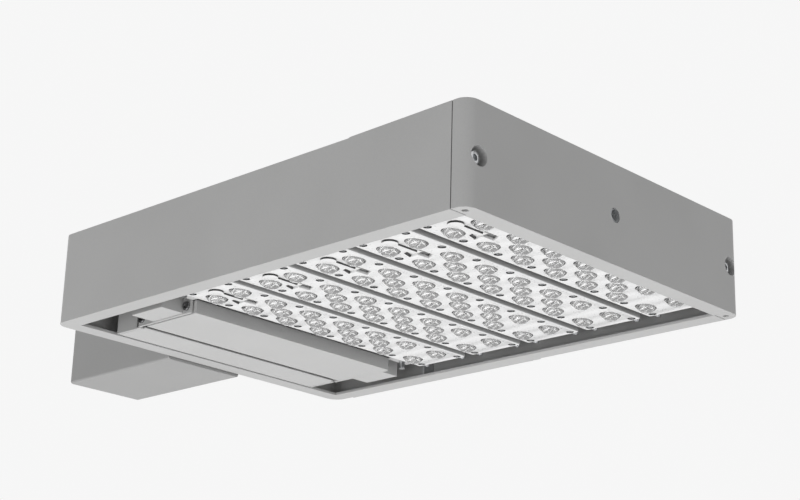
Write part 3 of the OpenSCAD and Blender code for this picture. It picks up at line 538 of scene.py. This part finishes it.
def cut(outline, low, high, edge=broken_edge, holes=()):
    """Points and faces of a flat part between two heights, with holes and broken edges."""
    drawing = bpy.data.curves.new("cut", "CURVE")
    drawing.dimensions = "2D"
    drawing.fill_mode = "BOTH"
    drawing.extrude = (high - low) / 2 - edge
    drawing.bevel_depth = edge
    drawing.bevel_resolution = 1
    drawing.offset = -edge
    for loop in [outline] + [hole[::-1] for hole in holes]:
        line = drawing.splines.new("POLY")
        line.points.add(len(loop) - 1)
        line.use_cyclic_u = True
        for point, (x, y) in zip(line.points, loop):
            point.co = (x, y, 0, 1)
    blank = bpy.data.objects.new("cut", drawing)
    bpy.context.scene.collection.objects.link(blank)
    bpy.context.view_layer.update()
    solid = blank.evaluated_get(bpy.context.evaluated_depsgraph_get())
    mesh = bpy.data.meshes.new_from_object(solid)
    points = [(v.co.x, v.co.y, v.co.z + (low + high) / 2) for v in mesh.vertices]
    faces = [list(face.vertices) for face in mesh.polygons]
    bpy.data.objects.remove(blank)
    bpy.data.meshes.remove(mesh)
    return points, faces


print("edges are broken by", broken_edge, "mm where nothing else is said")

# %% Putting shapes together
same_point, sharp_angle = 1e-7, 35


def joined(name, parts, finishes, sharp=sharp_angle):
    """One mesh from parts: each is a shape, the number of its finish, and its places."""
    points, faces, numbers = [], [], []
    for (shape_points, shape_faces), number, places in parts:
        for at in places:
            first = len(points)
            points += [[(c + a) * MM for c, a in zip(point, at)] for point in shape_points]
            faces += [[first + k for k in face] for face in shape_faces]
            numbers += [number] * len(shape_faces)
    mesh = bpy.data.meshes.new(name)
    mesh.from_pydata(points, [], faces)
    for finish in finishes:
        mesh.materials.append(finish)
    mesh.polygons.foreach_set("material_index", numbers)
    work = bmesh.new()
    work.from_mesh(mesh)
    bmesh.ops.remove_doubles(work, verts=work.verts, dist=same_point)
    bmesh.ops.recalc_face_normals(work, faces=work.faces)
    work.to_mesh(mesh)
    work.free()
    mesh.shade_smooth()
    mesh.set_sharp_from_angle(angle=math.radians(sharp))
    return mesh


def fitted(name, mesh, at, body, stands_for=()):
    """Sets a mesh at a place of the lamp and lets it ride on a body."""
    piece = bpy.data.objects.new(name, mesh)
    piece.location = at
    bpy.context.scene.collection.objects.link(piece)
    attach(piece, body)
    if stands_for:
        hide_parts(*stands_for)


print("edges above", sharp_angle, "degrees stay sharp where nothing else is said")

# %% [markdown]
# ## Five bars
# Five light bars lie side by side, each with its own board, gasket and lens plate. What is
# the same on all of them is made once and set five times. The boxes of the solid plates
# say where, so the dressing follows when the bars are spaced in another way. Where the
# name of a node has {} in it, the number of the bar goes there.

# %% Places of the bars
bars = range(1, 6)
bar_boxes = [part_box(f"lens_plate_{i}") for i in bars]
bar_spots = [(low.x + high.x) / 2 for low, high in bar_boxes]
bar_places = [Vector((x, centre_y, under)) for x in bar_spots]


def on_bars(*rows):
    """Sets pieces on each bar. A row is a name, a mesh, a slot, which is not used, and the node
    it stands for.
    """
    for i, place in zip(bars, bar_places):
        for name, mesh, slot, *nodes in rows:
            stands_for = [node.format(i) for node in nodes]
            fitted(f"{name}_{i}", mesh, place, "light", stands_for)


print("bars stand at", [round(x, 4) for x in bar_spots])

# %% [markdown]
# ## Lens plates
# A lens plate is a white moulding in a skirt painted grey, screwed on along both long sides,
# with eighteen clear lenses in seats. The grey of the skirt is painted shade, for the shade in
# the gaps between the bars. The solid model has it as one block; here the plate, its lenses
# and the dark screw cups are pieces of their own, because light goes through the lenses only.
# The plate is cut from a drawing with all its openings, a raised channel with a round end
# covers the leads, and a slanted window shows their plug. Heights count up from the
# underside of the housing, so a face that looks down has the smaller number.

# %% Places on a lens plate
plate_w, plate_l = 67.5, 340
face, back, skirt_end = 8, 11, 14
pitch, lens_x, screw_x = 47, 17.15, 26
lens_spots = [(side * lens_x, pitch * k) for side in (-1, 1) for k in range(-3, 4)]
lens_spots += [(0, pitch * (k + 0.5)) for k in range(-2, 2)]
screw_spots = [(side * screw_x, pitch * (k + 0.5)) for side in (-1, 1) for k in range(-4, 4)]
print("a plate has", len(lens_spots), "lenses and", len(screw_spots), "screws")

# %% The white slab and its frame
well_r, pocket_r, hole_steps = 3.8, 4, 24
half_w, half_l = plate_w / 2, plate_l / 2
inset, frame_wall = 0.4, 0.5
outer_r, slab_r, inner_r = 2, 1.8, 1.6


def plate_outline(margin, radius):
    """The plate's outline, drawn in by a margin."""
    return round_box(margin - half_w, margin - half_l, half_w - margin, half_l - margin, radius)


window = [(5.8, -125.2), (5.8, -107.3), (-4.6, -101.4), (-5.2, -115.4), (-15.6, -114.6),
          (-12, -126), (-6, -127.5)]
openings = [ring(well_r, at, hole_steps) for at in lens_spots]
openings += [ring(pocket_r, at, hole_steps) for at in screw_spots]
openings += [window]
slab = cut(plate_outline(inset, slab_r), face, back, edge=0.45, holes=openings)
skirt = cut(plate_outline(0, outer_r), face + frame_wall, skirt_end, edge=0.1,
            holes=[plate_outline(frame_wall, inner_r)])
print("the slab is cut with", len(openings), "openings")

# %% [markdown]
# ### The raised channel
# The leads run from the window to the end of the plate under a raised channel that ends in
# a round head. Its outline is a keyhole, an arc with a straight neck. The face is white
# and the wall under it black, so that it reads as a white shape with a dark line round it.

# %% The raised channel
head_y, head_r, near_y, neck_half = -157, 7.5, -125, 3
channel_top, channel_skin, channel_lap, channel_sunk = face - 2, 0.3, 0.05, 0.1
arc_steps, thin_edge = 28, 0.05
neck = math.asin(neck_half / head_r)
keyhole = []
for k in range(arc_steps + 1):
    angle = math.pi / 2 + neck + (2 * math.pi - 2 * neck) * k / arc_steps
    keyhole.append((head_r * math.cos(angle), head_y + head_r * math.sin(angle)))
keyhole += [(neck_half, near_y), (-neck_half, near_y)]
skin_end = channel_top + channel_skin
channel_face = cut(keyhole, channel_top, skin_end, edge=0.1)
channel_wall = cut(keyhole, skin_end - channel_lap, face + channel_sunk, edge=thin_edge)
print("the channel has", len(keyhole), "points round it")

# %% [markdown]
# ### What the window shows
# Behind the slanted window lie a white shelf, a grey sheet, a black strip along one edge
# and a small black wall. The grey sheet, the black strip and the black wall are painted
# shade: they stand for the shade on the window's floor, under its rim and in its slanted
# corner. Each is a cut piece of little thickness, so that the window has real depth.

# %% What the window shows, and the whole plate
shelf = cut([(-4.4, -126.5), (-4.4, -114.9), (-15.9, -114.1), (-12.3, -126.5)],
            low=10.4, high=11, edge=thin_edge)
# painted shade: a grey sheet for the shade on the window's floor
shade_sheet = cut([(-5.9, -124.9), (5.9, -124.9), (5.9, -104.1), (-5.9, -104.1)],
           low=11.1, high=11.4, edge=thin_edge)
# painted shade: a black strip for the shade under the window's rim
shade_strip = cut([(6, -125), (6, -107), (5.2, -106.6), (5.2, -125)],
             low=8.7, high=12.4, edge=thin_edge)
# painted shade: a black wall for the shade in the window's slanted corner
shade_wall = cut([(-12.2, -126.3), (-10.6, -125.8), (-13.8, -115), (-15.7, -114.6)],
           low=8.1, high=10.5, edge=thin_edge)
here = [(0, 0, 0)]
white, black, dull, grey = range(4)
plate = joined("plate", [(slab, white, here), (skirt, grey, here), (channel_face, white, here),
                         (shelf, white, here), (channel_wall, black, here),
                         (shade_strip, black, here), (shade_wall, black, here), (shade_sheet, dull, here)],
               [white_moulding, black_gloss, grey_sheet_for_shade, skirt_grey_for_shade])
on_bars(("plate", plate, "white_plastic", "lens_plate_{}"))
print("each plate has", len(plate.polygons), "faces")

# %% [markdown]
# ### Lenses
# Each lens is a low dome with straight sloping sides, hollow over its chip. The dark tips
# and streaks that a real one shows come from light that is bent and thrown back inside it,
# so the lens is a closed solid with a true hollow, and a black ring a twentieth of a millimetre
# thick lies under its rim. That ring is painted shade: seen from the side, it is what the tips
# of the lens show, in place of the shaded gap under the rim. Lenses for area lights
# throw light to two sides, so the dome is longer along the bar and the hollow across it.

# %% Lenses
half_across, half_along = 9.4, 12.5
shade_ring_in, shade_ring_low, shade_ring_high = 0.94, 7.93, 7.98
dome = [(0, 2.5), (0.34, 2.6), (0.48, 3.1), (0.7, 4.9), (0.88, 6.6), (0.97, 7.5), (1, 7.9)]
hollow = [(5, 2.4, 7.9), (4, 1.8, 7.3), (0, 0, 6.9)]
shade_ring = [(shade_ring_in, shade_ring_low), (1, shade_ring_low), (1, shade_ring_high), (shade_ring_in, shade_ring_high),
        (shade_ring_in, shade_ring_low)]
at_lenses = [(x, y, 0) for x, y in lens_spots]
dome_rows = [(share * half_across, share * half_along, z) for share, z in dome]
shade_ring_rows = [(share * half_across, share * half_along, z) for share, z in shade_ring]
lenses = joined("lenses", [(oval(dome_rows + hollow), 0, at_lenses)], [lens_acrylic], sharp=30)
# painted shade: black rings under the lens rims, for the shaded gap that the tips of a lens show
shade_rings = joined("lens seals", [(oval(shade_ring_rows), 0, at_lenses)], [black_shade_ring])
on_bars(("lenses", lenses, "lens", "lens_plate_{}"), ("lens_shade_rings", shade_rings, "gasket"))
print("each set of lenses has", len(lenses.polygons), "faces")

# %% [markdown]
# ### Plugs in the windows
# The leads of a board end in a small plug, of which the window shows the white top and a
# pale latch. Both are cut with rounded edges and take the place of the plain block.

# %% Plugs
top = cut(round_box(-4, -124.6, 4, -119.4, 0.8), low=7.7, high=13.6)
latch = cut(round_box(-3.4, -119.5, 3.6, -116.2, 0.5), low=9.4, high=13.4, edge=0.3)
plugs = joined("plugs", [(top, 0, here), (latch, 1, here)], [white_plastic, pale_plastic])
on_bars(("plug", plugs, "white_plastic", "board_connectors"))
print("a plug has", len(plugs.polygons), "faces")

# %% [markdown]
# ### Screws
# A screw head is a short drum with a broken edge and a socket. It is cut from its round
# outline with the socket as a hole, and a floor closes the socket. Heads are drawn with
# their face down, as most of them are seen here, and turned where they look sideways.

# %% Helpers for screws
slot_reach, slot_half = 2, 0.5
cross, wing = [], [(slot_half, slot_half), (slot_half, slot_reach), (-slot_half, slot_reach)]
for quarter in range(4):
    cross += wing
    wing = [(-y, x) for x, y in wing]
facing = {
    "x": lambda x, y, z: (-z, y, x),
    "y": lambda x, y, z: (x, -z, y),
    "-y": lambda x, y, z: (x, z, -y),
}
head_steps, shank_steps = 24, 16


def screw(radius, height, socket, depth, shank, length, edge=0.3):
    """A screw as three shapes. Its head hangs below the plane z = 0, its rod is above."""
    drum = cut(ring(radius, steps=head_steps), -height, 0, edge, [socket])
    bottom = [(x, y, depth - height) for x, y in socket], [list(range(len(socket)))]
    rod = turned([(0, 0), (shank, 0), (shank, length), (0, length)], shank_steps)
    return [drum, bottom, rod]


def faced(shapes, way):
    """The same shapes with the face turned to look along x, y or -y."""
    return [([facing[way](*point) for point in points], faces) for points, faces in shapes]


def hexagon(radius):
    """The outline of a six sided socket."""
    return ring(radius, steps=6)


print("sockets: a cross with", len(cross), "corners and a hexagon")

# %% [markdown]
# ### Screws of the lens plates
# Each plate is held by sixteen small screws with a cross socket. They sit in black cups, so
# that from the side only a dark ring with a glint in it shows. The cup is a turned wall
# with a floor, a little narrower than its pocket.

# %% Screws and cups of the lens plates
cup_out, cup_in, cup_mouth, cup_end = 3.97, 3.75, 8.3, 10.9
head_seat, cup_middle = 10.7, 10.75
cup = [(0, cup_end), (cup_out, cup_end), (cup_out, cup_mouth), (cup_in, cup_mouth),
       (cup_in, head_seat), (0, cup_middle)]
at_screws = [(x, y, 0) for x, y in screw_spots]
at_heads = [(x, y, head_seat) for x, y in screw_spots]
cups = joined("screw cups", [(turned(cup, hole_steps), 0, at_screws)], [black_gloss])
edge_screw = screw(radius=2.9, height=2, socket=cross, depth=1.0, shank=1.5, length=4)
small_heads = joined("plate screws", [(shape, 0, at_heads) for shape in edge_screw],
                     [screw_metal])
on_bars(("screw_cups", cups, "seal_grey"),
        ("plate_screws", small_heads, "black_screw", "lens_plate_screws"))
print("cups and heads:", len(cups.polygons), "and", len(small_heads.polygons), "faces a bar")

# %% [markdown]
# ### Screws of the rails
# Two screws hold each end of a rail. Their tall heads stand just past the ends of the lens
# plates, where light catches them. They are all alike, so one mesh carries the twenty.

# %% Screws at the ends of the rails
origin = spot(0, 0, 0)
rail_end, rail_seat = 173.5, 15.2
at_rails = [((x - rear) / MM + side * screw_x, end * rail_end, rail_seat)
            for x in bar_spots for side in (-1, 1) for end in (-1, 1)]
rail_screw = screw(radius=3.2, height=7.2, socket=hexagon(1.7), depth=2.5, shank=2, length=6)
rail_heads = joined("rail screws", [(shape, 0, at_rails) for shape in rail_screw],
                    [screw_metal])
fitted("rail_screw_heads", rail_heads, origin, "light", ["rail_screws"])
print(len(at_rails), "rail screws")

# %% [markdown]
# ### Screws of the front cap
# Two large screws in deep pockets hold the cap. They look forward, so the same kind of
# head is turned to face along x. The solid screws say how far apart they sit.

# %% Screws of the front cap
front, middle_z, cap_seat, solid_head_r = 560, 47.5, 546.5, 5.7
cap_y = (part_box("cap_screws")[1].y - centre_y) / MM - solid_head_r
at_cap = [(cap_seat, side * cap_y, middle_z) for side in (-1, 1)]
cap_screw = screw(radius=6.1, height=8.3, socket=hexagon(3.1), depth=4, shank=3, length=20,
                  edge=0.6)
cap_heads = joined("cap screws", [(shape, 0, at_cap) for shape in faced(cap_screw, "x")],
                   [screw_metal])
fitted("cap_screw_heads", cap_heads, origin, "light", ["cap_screws"])
print("cap screws sit at", round(cap_y, 1), "mm to each side")

# %% [markdown]
# ### Screws of the door
# The door of the driver bay turns on two screws and is closed by two more. Their wide dark
# heads lie on the outside of the end brackets and look to the two sides.

# %% Hinge and closing screws of the door
bracket_out, door_z = 142, 8
door_screws = {"hinge": 137, "closing": 66.4}
side_screw = screw(radius=4.7, height=2.5, socket=hexagon(2.2), depth=1.6, shank=2.4,
                   length=5, edge=0.5)
for name, x in door_screws.items():
    parts = [(shape, 0, [(x, sign * bracket_out, door_z)])
             for way, sign in (("y", 1), ("-y", -1)) for shape in faced(side_screw, way)]
    side_heads = joined(f"{name}_screws", parts, [dark_steel])
    fitted(f"{name}_heads", side_heads, origin, "light", [f"{name}_screws"])
    print(name, "screws have", len(side_heads.polygons), "faces")

# %% [markdown]
# ### Thread of the accessory hole
# In the middle of the front is a threaded hole for an accessory. At this size a thread
# reads as rings, so it is turned from a zigzag profile with a floor behind it.

# %% Thread
crest, root, first_turn, half_turn, half_turns, depth = 5.7, 6.95, 0.2, 0.8, 12, 9.4
zigzag = [(root if k % 2 else crest, first_turn + half_turn * k) for k in range(half_turns)]
threaded = faced([turned(zigzag + [(0, depth)])], "x")[0]
thread = joined("thread", [(threaded, 0, [(front, 0, middle_z)])], [driver_metal], sharp=20)
fitted("accessory_thread", thread, origin, "light")
print("thread with", len(thread.polygons), "faces")

# %% [markdown]
# ## Finishes on the solids
# Each solid of the model gets its finish through its own material slots, and its shape
# stays as it is. The table reads like a parts list: finish first, then what carries it.

# %% Finishes on the solids
parts_list = {
    housing_paint: ["housing", "front_cap"],
    arm_paint_darkened_for_shade: ["arm"],
    sheet_paint: ["driver_door", "wiring_cover", "end_bracket_left", "end_bracket_right"],
    sink_metal: ["heat_sink"],
    rail_metal_darkened_for_shade: [f"rail_{i}" for i in bars],
    plate_metal: ["partition", "pole_plate", "arm_flange"],
    driver_metal: ["led_driver"],
    screw_metal: ["heat_sink_screws", "partition_screws", "driver_screws", "bracket_screws",
                  "nose_screws", "cover_posts", "arm_bolts"],
    white_plastic: ["terminal_block"],
    dark_plastic: ["surge_protector", "junction_block"],
    board_lacquer: [f"led_board_{i}" for i in bars],
    phosphor: ["led_chips"],
    rubber: ["cap_gasket", "arm_gasket", "wire_bushing", "lead_grommet"],
    grey_rubber: [f"bar_gasket_{i}" for i in bars],
    white_jacket: ["bar_leads", "output_leads"],
    dark_jacket: ["supply_leads", "driver_leads", "surge_leads"],
}
for finish, names in parts_list.items():
    for name in names:
        for place in solids[name].material_slots:
            place.material = finish
replaced = {f"lens_plate_{i}" for i in bars}
replaced |= {"lens_plate_screws", "rail_screws", "cap_screws", "board_connectors",
             "hinge_screws", "closing_screws"}
finished = {name for names in parts_list.values() for name in names}
print("finished", len(finished), "solids, left over:", sorted(set(solids) - replaced - finished))

# %% [markdown]
# ## Floor finish
# The floor is so far below that the lamps hardly reach it. To the camera it glows a little
# on top of its own pale tone, so that it stays pale and still takes the lamp's shadow.

# %% Floor finish
floor_glow, patch_size, floor_dark, floor_pale = 0.5, 600, 0.84, 0.88
finish, tree, shader, points = begin("pale floor", 0.8)
cloud = grain(tree, points, patch_size, 3.0)
pale = ramp(tree, cloud, (floor_dark,) * 3, (floor_pale,) * 3)
tree.links.new(pale, shader.inputs["Base Color"])
glow = tree.nodes.new("ShaderNodeMath")
glow.operation = "MULTIPLY"
glow.inputs[1].default_value = floor_glow
tree.links.new(tree.nodes.new("ShaderNodeLightPath").outputs["Is Camera Ray"], glow.inputs[0])
tree.links.new(pale, shader.inputs["Emission Color"])
tree.links.new(glow.outputs[0], shader.inputs["Emission Strength"])
floor.data.materials.append(finish)
print("floor glows with", floor_glow, "of its tone")
